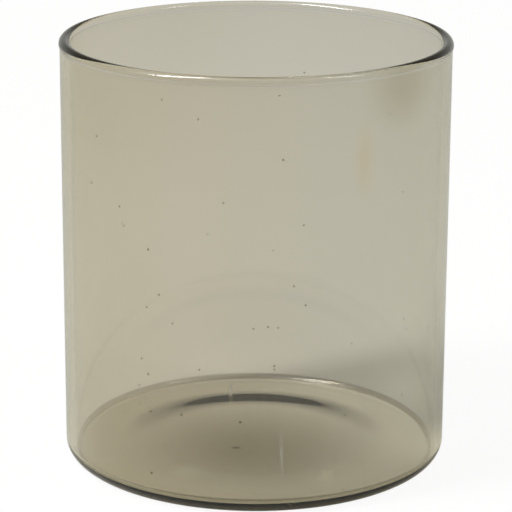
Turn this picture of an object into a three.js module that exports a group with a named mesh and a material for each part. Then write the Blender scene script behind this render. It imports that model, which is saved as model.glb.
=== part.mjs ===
// Glass cylinder vase: one blown vessel of smoked glass, open at the top.
// Millimetres, +Z up, origin on the table at the centre of the foot.
//
// The vessel is turned from one section. It is split where the glass changes
// its form: the fire-polished rim, the straight wall, the heel that turns the
// wall into the bottom, and the bottom itself. Neighbours share the same ring
// of points where they meet, so the four solids join face to face.

import * as THREE from 'three';

// Driving dimensions.
const OUTER_DIAMETER = 120;
const HEIGHT = 133;
const WALL_THICKNESS = 3;
const BASE_THICKNESS = 2.9;
const HEEL_RADIUS = 4.8; // outside corner between wall and foot
const INNER_HEEL_RADIUS = 2; // inside corner between wall and floor
const BEAD_DIAMETER = 3.4; // round lip of glass on the rim
const BEAD_BULGE = 0.3; // how far the lip stands out beyond the wall
const NECK_RADIUS = 3; // hollow curve under the lip, on each side
const PUSH_UP = 0.7; // rise of the middle of the underside
const PUSH_UP_RADIUS = 34.2; // the raised middle is flat as far as this
const FOOT_BAND_INNER_RADIUS = 46.5; // the flat ring that the vase stands on starts here
const BASE_DISC_RADIUS = 52;
const STRAIGHT_MARGIN = 1; // straight wall that belongs to the rim and to the heel

// Faceting.
const TURN_SEGMENTS = 72;
const BEAD_STEPS = 6; // for each half of the lip
const NECK_STEPS = 3;
const HEEL_STEPS = 5;
const PUSH_UP_STEPS = 3;

// Derived sizes.
const wallOuter = OUTER_DIAMETER / 2;
const wallInner = wallOuter - WALL_THICKNESS;
const beadRadius = BEAD_DIAMETER / 2;
const bead = new THREE.Vector2(wallOuter + BEAD_BULGE - beadRadius, HEIGHT - beadRadius);
const heelTop = Math.max(HEEL_RADIUS, BASE_THICKNESS + INNER_HEEL_RADIUS) + STRAIGHT_MARGIN;

// A hollow curve that touches the bead and one face of the wall. side is 1 for
// the outer face and -1 for the inner face.
function neckCentre(faceRadius, side) {
  const across = faceRadius + side * NECK_RADIUS - bead.x;
  const reach = beadRadius + NECK_RADIUS;
  return new THREE.Vector2(bead.x + across, bead.y - Math.sqrt(reach ** 2 - across ** 2));
}

const innerNeck = neckCentre(wallInner, -1);
const outerNeck = neckCentre(wallOuter, 1);
const wallTop = Math.min(innerNeck.y, outerNeck.y) - STRAIGHT_MARGIN;

// Points on an arc about a centre, from one angle to another, both ends included.
function arc(centre, radius, from, to, steps) {
  return Array.from({ length: steps + 1 }, (_, i) => {
    const angle = from + ((to - from) * i) / steps;
    return new THREE.Vector2(
      centre.x + radius * Math.cos(angle),
      centre.y + radius * Math.sin(angle),
    );
  });
}

// The angle at which one centre sees another.
function bearing(from, to) {
  return Math.atan2(to.y - from.y, to.x - from.x);
}

const glass = {
  color: new THREE.Color().setRGB(0.78, 0.75, 0.66, THREE.SRGBColorSpace),
  roughness: 0.04,
  metalness: 0,
};

// A named solid turned about +Z from a section of [radius, height] points that
// runs outwards along the underside, up the outside and back along the top.
function turned(name, section) {
  const geometry = new THREE.LatheGeometry(section, TURN_SEGMENTS);
  geometry.rotateX(Math.PI / 2);
  const mesh = new THREE.Mesh(geometry, new THREE.MeshStandardMaterial(glass));
  mesh.name = name;
  return mesh;
}

// A section that closes on itself, for a ring.
function closed(points) {
  return [...points, points[0].clone()];
}

// The rim: a round lip with a slight hollow on each side where it runs into the wall.
function rimBead() {
  const outerTouch = bearing(bead, outerNeck);
  const innerTouch = bearing(bead, innerNeck) + 2 * Math.PI;
  return turned('rim_bead', closed([
    new THREE.Vector2(wallOuter, wallTop),
    ...arc(outerNeck, NECK_RADIUS, Math.PI, outerTouch + Math.PI, NECK_STEPS).slice(0, -1),
    ...arc(bead, beadRadius, outerTouch, Math.PI / 2, BEAD_STEPS).slice(0, -1),
    ...arc(bead, beadRadius, Math.PI / 2, innerTouch, BEAD_STEPS),
    ...arc(innerNeck, NECK_RADIUS, innerTouch - Math.PI, 0, NECK_STEPS).slice(1),
    new THREE.Vector2(wallInner, wallTop),
  ]));
}

// The straight wall.
function cylinderWall() {
  return turned('cylinder_wall', closed([
    new THREE.Vector2(wallInner, heelTop),
    new THREE.Vector2(wallOuter, heelTop),
    new THREE.Vector2(wallOuter, wallTop),
    new THREE.Vector2(wallInner, wallTop),
  ]));
}

// The heel: a quarter turn from the wall into the foot.
function heelRing() {
  const outerCorner = new THREE.Vector2(wallOuter - HEEL_RADIUS, HEEL_RADIUS);
  const innerCorner = new THREE.Vector2(
    wallInner - INNER_HEEL_RADIUS,
    BASE_THICKNESS + INNER_HEEL_RADIUS,
  );
  return turned('heel_ring', closed([
    new THREE.Vector2(BASE_DISC_RADIUS, 0),
    ...arc(outerCorner, HEEL_RADIUS, -Math.PI / 2, 0, HEEL_STEPS),
    new THREE.Vector2(wallOuter, heelTop),
    new THREE.Vector2(wallInner, heelTop),
    ...arc(innerCorner, INNER_HEEL_RADIUS, 0, -Math.PI / 2, HEEL_STEPS),
    new THREE.Vector2(BASE_DISC_RADIUS, BASE_THICKNESS),
  ]));
}

// The bottom: a flat floor inside, and outside a flat standing band round a
// shallow push-up that is flat in the middle.
function baseDisc() {
  const slope = Array.from({ length: PUSH_UP_STEPS }, (_, i) => {
    const share = i / PUSH_UP_STEPS;
    return new THREE.Vector2(
      PUSH_UP_RADIUS + (FOOT_BAND_INNER_RADIUS - PUSH_UP_RADIUS) * share,
      PUSH_UP * (1 - share) ** 2,
    );
  });
  return turned('base_disc', [
    new THREE.Vector2(0, PUSH_UP),
    ...slope,
    new THREE.Vector2(FOOT_BAND_INNER_RADIUS, 0),
    new THREE.Vector2(BASE_DISC_RADIUS, 0),
    new THREE.Vector2(BASE_DISC_RADIUS, BASE_THICKNESS),
    new THREE.Vector2(0, BASE_THICKNESS),
  ]);
}

const vase = new THREE.Group();
vase.name = 'glass_cylinder_vase';
vase.add(rimBead(), cylinderWall(), heelRing(), baseDisc());

export default vase;
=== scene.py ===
"""A smoked glass cylinder vase on a plain pale table, in soft studio light.

The vessel is one closed skin of glass, turned from its section by Geometry Nodes.
"""

import math

import bpy
from mathutils import Matrix, Vector


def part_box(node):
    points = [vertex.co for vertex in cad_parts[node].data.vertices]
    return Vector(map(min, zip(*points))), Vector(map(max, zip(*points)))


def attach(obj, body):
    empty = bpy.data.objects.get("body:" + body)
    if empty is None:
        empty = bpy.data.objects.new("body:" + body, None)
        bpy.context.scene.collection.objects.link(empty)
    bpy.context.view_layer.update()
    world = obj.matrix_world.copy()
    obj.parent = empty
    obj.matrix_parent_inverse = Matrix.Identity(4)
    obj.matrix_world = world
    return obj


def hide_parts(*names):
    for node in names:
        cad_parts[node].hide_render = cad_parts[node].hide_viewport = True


MM = 0.001
WHITE = (1.0, 1.0, 1.0)
ROUND = (1, 1, 1)  # the stretch of a spot that isn't stretched

# The section's sizes that the frame's boxes don't give.
WALL_THICKNESS = 3.0 * MM
HEEL_RADIUS = 4.8 * MM
INNER_HEEL_RADIUS = 2 * MM
BEAD_DIAMETER = 3.4 * MM
NECK_RADIUS = 3 * MM
PUSH_UP = 0.7 * MM
PUSH_UP_RADIUS = 29.9 * MM
STANDING_RING_INNER_RADIUS = 47.6 * MM

# The glass. It is only rough in patches, where hands have smeared it.
GLASS_BEND = 1.52
DEPTH_COLOUR = (0.72, 0.68, 0.44)
DEPTH_DENSITY = 75
HANDLED_SCALE = 30
HANDLED_DETAIL = 4
HANDLED_RANGE = (0.5, 0.75)
HANDLED_ROUGHNESS = 0.05

# The smoky coat's tint where it is thin and where it is thick, on the warmer and the cooler side.
THIN_WARM_COAT = (0.942, 0.916, 0.890)
THIN_COOL_COAT = (0.940, 0.934, 0.940)
THICK_WARM_COAT = (0.908, 0.876, 0.840)
THICK_COOL_COAT = (0.914, 0.906, 0.910)
WARM_TO_COOL = (-0.05, 0.05)  # along X

# The coat is cloudy, and thickens from one height to another, towards the rim.
CLOUD_SCALE = 16
CLOUD_DETAIL = 2
CLOUD_RANGE = (0.3, 0.7)
CLOUD_SHARE = 0.6
RIM_HEIGHTS = (0.06, 0.13)
RIM_SHARE = 0.4

# Marks on the coat: place, reach, how many times longer along X, Y and Z, tint, strength.
MARKS = [
    ((0.0435, -0.0413, 0.127), 0.019, (1, 1, 0.9), (0.760, 0.745, 0.680), 1.0),  # darker, browner patch below the rim
    ((-0.056, -0.020, 0.116), 0.032, ROUND, (0.870, 0.845, 0.780), 0.8),  # and across from it
    ((0.0318, -0.0509, 0.107), 0.005, (1, 1, 2.9), (0.930, 0.820, 0.640), 0.8),  # amber streak
    ((-0.0057, -0.010, 0.0029), 0.0015, (1.5, 1, 1), (0.06, 0.05, 0.04), 1.0),  # grit
    ((-0.0200, -0.030, 0.0029), 0.0080, (1, 1.2, 1), WHITE, 1.0),  # rubbed clean
]

# Rings of painted shade that darken the hollow corner over the floor and the heel: radius, 0 and height,
# then reach, stretch and core.
# The heel's painted shade fades in from the first Y to the second, so it lies only on the camera's side.
CORNER_SHADE_RING = ((0.0564, 0, 0.0035), 0.0015, ROUND, 0.0007)
HEEL_SHADE_RING = ((0.0599, 0, 0.0043), 0.0014, ROUND, 0.0009)
HEEL_SHADE_SIDE = (-0.01, -0.03)
# The colour of the painted shade on the corner and the heel.
PAINTED_SHADE_TINT = (0.36, 0.33, 0.27)

# Scratches on the floor: place, reach, lengthening along X, Y and Z, strength.
SCRATCHES = [
    ((0.0085, -0.017, 0.0029), 0.0010, (1, 28, 1), 0.5),
    ((-0.0082, 0.0445, 0.0029), 0.0010, (1, 9, 1), 0.8),
]

# Specks: one in some of the cells of a pattern, below the rim. Sizes are shares of a cell.
SPECK_COLOUR = (0.25, 0.22, 0.18)
SPECK_CELL_SCALE = 110
SPECK_EMPTY_SHARE = 0.5
SPECK_REACH = 0.055
SPECK_CORE = 0.03
SPECK_TOP = (0.124, 0.118)

# The room, by the direction that is looked in: up from the sweep, and round to the front.
SWEEP_COLOUR = (0.55, 0.55, 0.52)
CEILING_COLOUR = (0.255, 0.232, 0.175)
FRONT_COLOUR = (0.13, 0.12, 0.10)
SWEEP_TO_CEILING = (0.1, 0.45)
SIDE_TO_FRONT = (-0.2, -0.7)

# The table. Direct is what the camera sees, and the rest shows through or off the glass. The glow
# stands for the light that real glass lets down. Past the core the table eases into the sweep.
TABLE_SIZE = 12
TABLE_DROP = 0.1 * MM
TABLE_ROUGHNESS = 0.9
DIRECT_PAINT = (0.07, 0.07, 0.07)
THROUGH_PAINT = (0.365, 0.365, 0.34)
DIRECT_GLOW = (0.93, 0.93, 0.93)
OPEN_GLOW = (0.268, 0.268, 0.245)
FOOT_GLOW = (0.42, 0.40, 0.32)
FOOT_REACH = 0.064
FOOT_CORE = 0.056
MIDDLE_GLOW = (0.122, 0.107, 0.058)
MIDDLE_PLACE = (0.002, -0.006, 0)
MIDDLE_REACH = 0.056
TABLE_REACH = 3.0
TABLE_CORE = 0.8

# Light that the wall throws on the table beside it: place, reach, colour, strength.
LIGHT_POOLS = [
    ((0.062, -0.004, 0), 0.032, (0.64, 0.61, 0.49), 0.55),
    ((0.062, 0.056, 0), 0.032, (0.45, 0.45, 0.41), 0.40),
]

# Soft boxes: name, azimuth and elevation in degrees, width, height, watts.
SOFT_BOXES = [
    ("key_light", -64, 53, 0.5, 1.8, 50),
    ("key_halo", -66, 56, 1.4, 2.5, 16),
    ("strip_light", 69, 50, 0.3, 0.9, 6),
]
SOFT_BOX_DISTANCE = 2.5
SOFT_BOX_AIM = (0, 0, 0.06)

# How finely the skin is turned.
TURN_STEPS = 288
ARC_STEPS = 20
WALL_STEPS = 40
FLOOR_STEPS = 24
STANDING_RING_STEPS = 4
OUTER_NECK_STEPS = 6
INNER_NECK_STEPS = 10
WELD_DISTANCE = 0.01 * MM

# The camera, seen from the middle of the vase. Lens and sensor are in millimetres.
CAMERA_LENS = 170.8
CAMERA_SENSOR = 36
CAMERA_CLIP_START = 0.01
CAMERA_CLIP_END = 100
CAMERA_ELEVATION = math.radians(16.56)
CAMERA_ROLL = math.radians(0.284)
CAMERA_PAN = math.radians(0.0198)
CAMERA_DISTANCE_RADII = 12.7
CAMERA_TARGET_RADII = 1.0481

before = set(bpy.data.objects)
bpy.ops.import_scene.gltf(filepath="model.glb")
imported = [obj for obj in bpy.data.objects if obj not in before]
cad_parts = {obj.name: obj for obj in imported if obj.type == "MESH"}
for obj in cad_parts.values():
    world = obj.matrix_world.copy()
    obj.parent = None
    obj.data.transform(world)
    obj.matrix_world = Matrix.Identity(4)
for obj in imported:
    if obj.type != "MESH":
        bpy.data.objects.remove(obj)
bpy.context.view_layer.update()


# ---------------------------------------------------------------- section


def arc(centre, radius, start, end, steps=ARC_STEPS):
    """Points on an arc in the section plane, both ends included."""
    angles = [start + (end - start) * i / steps for i in range(steps + 1)]
    return [(centre[0] + radius * math.cos(a), centre[1] + radius * math.sin(a)) for a in angles]


def line(start, end, steps):
    """Points between two ends, neither included."""
    shares = [i / steps for i in range(1, steps)]
    return [(start[0] + (end[0] - start[0]) * s, start[1] + (end[1] - start[1]) * s) for s in shares]


def bearing(seen_from, towards):
    """The angle at which one point sees another."""
    return math.atan2(towards[1] - seen_from[1], towards[0] - seen_from[0])


def neck_centre(bead, bead_radius, neck_radius, face_radius, side):
    """Centre of the hollow curve that touches the bead and one face of the wall."""
    across = face_radius + side * neck_radius - bead[0]
    reach = bead_radius + neck_radius
    return (bead[0] + across, bead[1] - math.sqrt(reach ** 2 - across ** 2))


def underside():
    """The flat raised middle, and the smooth fall from it to the standing ring."""
    middle = (0, PUSH_UP)
    points = [middle, *line(middle, (PUSH_UP_RADIUS, PUSH_UP), FLOOR_STEPS)]
    for i in range(FLOOR_STEPS + 1):
        share = i / FLOOR_STEPS
        radius = PUSH_UP_RADIUS + (STANDING_RING_INNER_RADIUS - PUSH_UP_RADIUS) * share
        points.append((radius, PUSH_UP * (1 + math.cos(math.pi * share)) / 2))
    return points


def vessel_section():
    """The glass from the middle of the underside, round the rim, to the middle of the floor."""
    rim_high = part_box("rim_bead")[1]
    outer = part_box("cylinder_wall")[1].x
    floor_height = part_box("base_disc")[1].z
    inner = outer - WALL_THICKNESS
    bead_radius = BEAD_DIAMETER / 2
    bead = (rim_high.x - bead_radius, rim_high.z - bead_radius)
    inner_neck = neck_centre(bead, bead_radius, NECK_RADIUS, inner, -1)
    outer_neck = neck_centre(bead, bead_radius, NECK_RADIUS, outer, 1)
    outer_touch = bearing(bead, outer_neck)
    inner_touch = bearing(bead, inner_neck) + 2 * math.pi
    outer_heel = (outer - HEEL_RADIUS, HEEL_RADIUS)
    inner_heel = (inner - INNER_HEEL_RADIUS, floor_height + INNER_HEEL_RADIUS)
    foot = underside()
    return [
        *foot,
        *line(foot[-1], (outer_heel[0], 0), STANDING_RING_STEPS),
        *arc(outer_heel, HEEL_RADIUS, -math.pi / 2, 0),
        *line((outer, outer_heel[1]), (outer, outer_neck[1]), WALL_STEPS),
        *arc(outer_neck, NECK_RADIUS, math.pi, outer_touch + math.pi, OUTER_NECK_STEPS),
        *arc(bead, bead_radius, outer_touch, inner_touch, 2 * ARC_STEPS)[1:],
        *arc(inner_neck, NECK_RADIUS, inner_touch - math.pi, 0, INNER_NECK_STEPS)[1:],
        *line((inner, inner_neck[1]), (inner, inner_heel[1]), WALL_STEPS),
        *arc(inner_heel, INNER_HEEL_RADIUS, 0, -math.pi / 2),
        *line((inner_heel[0], floor_height), (0, floor_height), FLOOR_STEPS),
        (0, floor_height),
    ]


# ---------------------------------------------------------------- nodes

# A Mix node has sockets for numbers and vectors before those for colours.
FIRST_COLOUR = 6
SECOND_COLOUR = 7
MIXED_COLOUR = 2


def node(tree, kind, **settings):
    """A new node with its settings."""
    made = tree.nodes.new(kind)
    for key, value in settings.items():
        setattr(made, key, value)
    return made


def feed(tree, socket, value):
    """Puts a number, a colour or another node's output into a socket."""
    if isinstance(value, bpy.types.NodeSocket):
        tree.links.new(value, socket)
    elif isinstance(value, tuple):
        socket.default_value = (*value, 1)
    else:
        socket.default_value = value


def maths(tree, operation, *values):
    """The output of a Math node."""
    made = node(tree, "ShaderNodeMath", operation=operation)
    for socket, value in zip(made.inputs, values):
        feed(tree, socket, value)
    return made.outputs[0]


def eased(tree, value, low, high):
    """0 at low and 1 at high, with a smooth change between. Low may be the greater."""
    ramp = node(tree, "ShaderNodeMapRange", interpolation_type="SMOOTHSTEP")
    tree.links.new(value, ramp.inputs["Value"])
    ramp.inputs["From Min"].default_value = low
    ramp.inputs["From Max"].default_value = high
    return ramp.outputs["Result"]


def mixed(tree, share, first, second):
    """The colour that is first where share is 0 and second where it is 1."""
    mix = node(tree, "ShaderNodeMix", data_type="RGBA")
    tree.links.new(share, mix.inputs["Factor"])
    feed(tree, mix.inputs[FIRST_COLOUR], first)
    feed(tree, mix.inputs[SECOND_COLOUR], second)
    return mix.outputs[MIXED_COLOUR]


def near(tree, place, point, reach, stretch=ROUND, core=0.0):
    """1 within core of a point, easing to 0 at reach from it. The spot is stretched along the axes."""
    squash = node(tree, "ShaderNodeVectorMath", operation="DIVIDE")
    tree.links.new(place, squash.inputs[0])
    squash.inputs[1].default_value = stretch
    away = node(tree, "ShaderNodeVectorMath", operation="DISTANCE")
    tree.links.new(squash.outputs[0], away.inputs[0])
    away.inputs[1].default_value = [p / s for p, s in zip(point, stretch)]
    return eased(tree, away.outputs["Value"], reach, core)


# ---------------------------------------------------------------- turning the section


def new_tree(name, **inputs):
    """A Geometry Nodes tree with a Geometry input, named inputs after it, and a Geometry output."""
    tree = bpy.data.node_groups.new(name, "GeometryNodeTree")
    tree.interface.new_socket("Geometry", in_out="INPUT", socket_type="NodeSocketGeometry")
    for label, kind in inputs.items():
        tree.interface.new_socket(label.replace("_", " ").capitalize(), in_out="INPUT", socket_type=kind)
    tree.interface.new_socket("Geometry", in_out="OUTPUT", socket_type="NodeSocketGeometry")
    return tree


def turning_tree():
    """Turns a section of edges, lying in the XZ plane, about the Z axis into a closed skin."""
    tree = new_tree(
        "turned_vessel",
        steps="NodeSocketInt",
        path_radius="NodeSocketFloat",
        glass="NodeSocketMaterial",
    )
    link = tree.links.new
    given = node(tree, "NodeGroupInput").outputs
    section = node(tree, "GeometryNodeMeshToCurve")
    link(given["Geometry"], section.inputs["Mesh"])
    path = node(tree, "GeometryNodeCurvePrimitiveCircle")
    link(given["Path radius"], path.inputs["Radius"])
    link(given["Steps"], path.inputs["Resolution"])
    sweep = node(tree, "GeometryNodeCurveToMesh")
    link(path.outputs["Curve"], sweep.inputs["Curve"])
    link(section.outputs["Curve"], sweep.inputs["Profile Curve"])
    weld = node(tree, "GeometryNodeMergeByDistance")
    weld.inputs["Distance"].default_value = WELD_DISTANCE
    link(sweep.outputs["Mesh"], weld.inputs["Geometry"])
    outwards = node(tree, "GeometryNodeFlipFaces")
    link(weld.outputs["Geometry"], outwards.inputs["Mesh"])
    smooth = node(tree, "GeometryNodeSetShadeSmooth")
    link(outwards.outputs["Mesh"], smooth.inputs["Geometry"])
    real = node(tree, "GeometryNodeRealizeInstances")
    link(smooth.outputs["Geometry"], real.inputs["Geometry"])
    paint = node(tree, "GeometryNodeSetMaterial")
    link(real.outputs["Geometry"], paint.inputs["Geometry"])
    link(given["Glass"], paint.inputs["Material"])
    out = node(tree, "NodeGroupOutput")
    link(paint.outputs["Geometry"], out.inputs["Geometry"])
    return tree


def grown(name, mesh, tree, values):
    """A plain mesh object made by running a tree on a mesh."""
    seed = bpy.data.objects.new(name + "_seed", mesh)
    bpy.context.scene.collection.objects.link(seed)
    modifier = seed.modifiers.new("grow", "NODES")
    modifier.node_group = tree
    for item in tree.interface.items_tree:
        if item.in_out == "INPUT" and item.name in values:
            modifier[item.identifier] = values[item.name]
    evaluated = seed.evaluated_get(bpy.context.evaluated_depsgraph_get())
    made = bpy.data.meshes.new_from_object(evaluated)
    made.name = name
    bpy.data.objects.remove(seed)
    piece = bpy.data.objects.new(name, made)
    bpy.context.scene.collection.objects.link(piece)
    return piece


def section_mesh(points, path_radius):
    """The section as edges, measured from the circle that it is swept along."""
    mesh = bpy.data.meshes.new("section")
    corners = [(radius - path_radius, -height, 0) for radius, height in points]
    mesh.from_pydata(corners, [(i, i + 1) for i in range(len(corners) - 1)], [])
    return mesh


# ---------------------------------------------------------------- the glass


def coat_thickness(tree, place, height):
    """0 where the coat is thin, and 1 where it is thick."""
    cloud = node(tree, "ShaderNodeTexNoise")
    cloud.inputs["Scale"].default_value = CLOUD_SCALE
    cloud.inputs["Detail"].default_value = CLOUD_DETAIL
    tree.links.new(place, cloud.inputs["Vector"])
    uneven = maths(tree, "MULTIPLY", eased(tree, cloud.outputs["Fac"], *CLOUD_RANGE), CLOUD_SHARE)
    towards_rim = maths(tree, "MULTIPLY", eased(tree, height, *RIM_HEIGHTS), RIM_SHARE)
    return maths(tree, "ADD", uneven, towards_rim)


def painted_corner_shade(tree, along):
    """1 where shade is painted: on the hollow corner over the floor, and on the camera's side of the heel.
    """
    turned = node(tree, "ShaderNodeCombineXYZ")
    square = maths(tree, "ADD", maths(tree, "POWER", along["X"], 2), maths(tree, "POWER", along["Y"], 2))
    tree.links.new(maths(tree, "SQRT", square), turned.inputs["X"])
    tree.links.new(along["Z"], turned.inputs["Z"])
    corner = near(tree, turned.outputs[0], *CORNER_SHADE_RING)
    heel = near(tree, turned.outputs[0], *HEEL_SHADE_RING)
    one_side = maths(tree, "MULTIPLY", heel, eased(tree, along["Y"], *HEEL_SHADE_SIDE))
    return maths(tree, "MAXIMUM", corner, one_side)


def specks(tree, place, height):
    """1 in a few tiny dots scattered on the glass below the rim."""
    cells = node(tree, "ShaderNodeTexVoronoi")
    cells.inputs["Scale"].default_value = SPECK_CELL_SCALE
    tree.links.new(place, cells.inputs["Vector"])
    lot = node(tree, "ShaderNodeSeparateColor")
    tree.links.new(cells.outputs["Color"], lot.inputs[0])
    chosen = maths(tree, "GREATER_THAN", lot.outputs[0], SPECK_EMPTY_SHARE)
    dot = eased(tree, cells.outputs["Distance"], SPECK_REACH, SPECK_CORE)
    return maths(tree, "MULTIPLY", maths(tree, "MULTIPLY", dot, chosen), eased(tree, height, *SPECK_TOP))


def coat_tint(tree, place):
    """The coat's colour: cloudy, thicker towards the rim, warmer on one side, marked and specked, with
    painted shade on the floor's corner and the heel.
    """
    split = node(tree, "ShaderNodeSeparateXYZ")
    tree.links.new(place, split.inputs[0])
    along = split.outputs
    across = eased(tree, along["X"], *WARM_TO_COOL)
    thin = mixed(tree, across, THIN_WARM_COAT, THIN_COOL_COAT)
    thick = mixed(tree, across, THICK_WARM_COAT, THICK_COOL_COAT)
    colour = mixed(tree, coat_thickness(tree, place, along["Z"]), thin, thick)
    for point, reach, stretch, tint, strength in MARKS:
        share = maths(tree, "MULTIPLY", near(tree, place, point, reach, stretch), strength)
        colour = mixed(tree, share, colour, tint)
    # Painted shade darkens the hollow corner over the floor and the camera's side of the heel.
    colour = mixed(tree, painted_corner_shade(tree, along), colour, PAINTED_SHADE_TINT)
    return mixed(tree, specks(tree, place, along["Z"]), colour, SPECK_COLOUR)


def clearness(tree, place):
    """1 on clear glass, and less along the scratches."""
    clear = 1.0
    for point, reach, stretch, strength in SCRATCHES:
        scratch = maths(tree, "MULTIPLY", near(tree, place, point, reach, stretch), strength)
        clear = maths(tree, "SUBTRACT", clear, scratch)
    return clear


def handling(tree, place):
    """The roughness that hands leave on the glass, in patches."""
    patches = node(tree, "ShaderNodeTexNoise")
    patches.inputs["Scale"].default_value = HANDLED_SCALE
    patches.inputs["Detail"].default_value = HANDLED_DETAIL
    tree.links.new(place, patches.inputs["Vector"])
    handled = eased(tree, patches.outputs["Fac"], *HANDLED_RANGE)
    return maths(tree, "MULTIPLY", handled, HANDLED_ROUGHNESS)


def smoked_glass():
    """Clear glass with a thin uneven smoky coat and a faint tint in its depth."""
    material = bpy.data.materials.new("smoked_glass")
    material.use_nodes = True
    tree = material.node_tree
    shader = tree.nodes["Principled BSDF"]
    place = node(tree, "ShaderNodeTexCoord").outputs["Object"]
    feed(tree, shader.inputs["Base Color"], coat_tint(tree, place))
    feed(tree, shader.inputs["Roughness"], handling(tree, place))
    feed(tree, shader.inputs["Transmission Weight"], clearness(tree, place))
    feed(tree, shader.inputs["IOR"], GLASS_BEND)
    depth = node(tree, "ShaderNodeVolumeAbsorption")
    feed(tree, depth.inputs["Color"], DEPTH_COLOUR)
    feed(tree, depth.inputs["Density"], DEPTH_DENSITY)
    tree.links.new(depth.outputs["Volume"], tree.nodes["Material Output"].inputs["Volume"])
    return material


# ---------------------------------------------------------------- studio


def seen_two_ways(tree, direct, through):
    """A colour that is one thing to the camera and a deeper one to what looks through or off the glass."""
    path = node(tree, "ShaderNodeLightPath")
    return mixed(tree, path.outputs["Is Camera Ray"], through, direct)


def table_glow(tree, place):
    """The table's own light: white to the camera, and through the glass dimmest under the middle."""
    foot = near(tree, place, (0, 0, 0), FOOT_REACH, core=FOOT_CORE)
    under = mixed(tree, foot, OPEN_GLOW, FOOT_GLOW)
    under = mixed(tree, near(tree, place, MIDDLE_PLACE, MIDDLE_REACH), under, MIDDLE_GLOW)
    for point, reach, colour, strength in LIGHT_POOLS:
        share = maths(tree, "MULTIPLY", near(tree, place, point, reach), strength)
        under = mixed(tree, share, under, colour)
    close = near(tree, place, (0, 0, 0), TABLE_REACH, core=TABLE_CORE)
    direct = mixed(tree, close, WHITE, DIRECT_GLOW)
    return seen_two_ways(tree, direct, mixed(tree, close, SWEEP_COLOUR, under))


def table_paint():
    """Pale paint that glows, so that the vase's own shadow on it stays as light as under real glass."""
    material = bpy.data.materials.new("pale_table")
    material.use_nodes = True
    tree = material.node_tree
    shader = tree.nodes["Principled BSDF"]
    place = node(tree, "ShaderNodeTexCoord").outputs["Object"]
    feed(tree, shader.inputs["Base Color"], seen_two_ways(tree, DIRECT_PAINT, THROUGH_PAINT))
    feed(tree, shader.inputs["Roughness"], TABLE_ROUGHNESS)
    feed(tree, shader.inputs["Specular IOR Level"], 0.0)
    feed(tree, shader.inputs["Emission Color"], table_glow(tree, place))
    feed(tree, shader.inputs["Emission Strength"], 1.0)
    return material


def soft_box(name, azimuth, elevation, width, height, watts):
    """An area light that faces the vase. Azimuth 0 is on the camera's side and 90 on its right."""
    a = math.radians(azimuth)
    e = math.radians(elevation)
    way = Vector((math.sin(a) * math.cos(e), -math.cos(a) * math.cos(e), math.sin(e)))
    data = bpy.data.lights.new(name, "AREA")
    data.shape = "RECTANGLE"
    data.size = width
    data.size_y = height
    data.energy = watts
    lamp = bpy.data.objects.new(name, data)
    lamp.location = Vector(SOFT_BOX_AIM) + way * SOFT_BOX_DISTANCE
    lamp.rotation_mode = "QUATERNION"
    lamp.rotation_quaternion = way.to_track_quat("Z", "Y")
    bpy.context.scene.collection.objects.link(lamp)


def room_light(tree):
    """The room round the table: a pale sweep behind, dimmer overhead and on the camera's side."""
    place = node(tree, "ShaderNodeTexCoord").outputs["Generated"]
    split = node(tree, "ShaderNodeSeparateXYZ")
    tree.links.new(place, split.inputs[0])
    upwards = eased(tree, split.outputs["Z"], *SWEEP_TO_CEILING)
    frontwards = eased(tree, split.outputs["Y"], *SIDE_TO_FRONT)
    return mixed(tree, frontwards, mixed(tree, upwards, SWEEP_COLOUR, CEILING_COLOUR), FRONT_COLOUR)


def table():
    """The top that the vase stands on, a hair below the foot."""
    bpy.ops.mesh.primitive_plane_add(size=TABLE_SIZE, location=(0, 0, -TABLE_DROP))
    top = bpy.context.object
    top.name = "table"
    top.data.materials.append(table_paint())


def studio():
    """The room, the table and the soft boxes."""
    scene = bpy.context.scene
    scene.view_settings.view_transform = "Standard"
    world = bpy.data.worlds.new("studio")
    world.use_nodes = True
    scene.world = world
    tree = world.node_tree
    room = seen_two_ways(tree, WHITE, room_light(tree))
    feed(tree, tree.nodes["Background"].inputs["Color"], room)
    table()
    for box in SOFT_BOXES:
        soft_box(*box)


def camera(radius):
    """The camera, placed by the radius of the wall."""
    back = Vector((0, -math.cos(CAMERA_ELEVATION), math.sin(CAMERA_ELEVATION)))
    right = Vector((1, 0, 0))
    up = right.cross(-back)
    ahead = -back * math.cos(CAMERA_PAN) + right * math.sin(CAMERA_PAN)
    side = right * math.cos(CAMERA_PAN) + back * math.sin(CAMERA_PAN)
    x_axis = side * math.cos(CAMERA_ROLL) + up * math.sin(CAMERA_ROLL)
    y_axis = up * math.cos(CAMERA_ROLL) - side * math.sin(CAMERA_ROLL)
    place = Vector((0, 0, CAMERA_TARGET_RADII * radius)) + back * CAMERA_DISTANCE_RADII * radius
    data = bpy.data.cameras.new("camera")
    data.sensor_width = CAMERA_SENSOR
    data.lens = CAMERA_LENS
    data.clip_start = CAMERA_CLIP_START
    data.clip_end = CAMERA_CLIP_END
    eye = bpy.data.objects.new("camera", data)
    turn = Matrix((x_axis, y_axis, -ahead)).transposed()
    eye.matrix_world = Matrix.Translation(place) @ turn.to_4x4()
    bpy.context.scene.collection.objects.link(eye)
    bpy.context.scene.camera = eye


# ---------------------------------------------------------------- the vase


def vessel(glass):
    """The glass vessel, which stands for all four zones of the CAD."""
    path_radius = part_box("cylinder_wall")[1].x
    section = section_mesh(vessel_section(), path_radius)
    sizes = {"Steps": TURN_STEPS, "Path radius": path_radius, "Glass": glass}
    piece = grown("glass_vessel", section, turning_tree(), sizes)
    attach(piece, "root")
    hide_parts("rim_bead", "cylinder_wall", "heel_ring", "base_disc")


camera(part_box("cylinder_wall")[1].x)
studio()
vessel(smoked_glass())
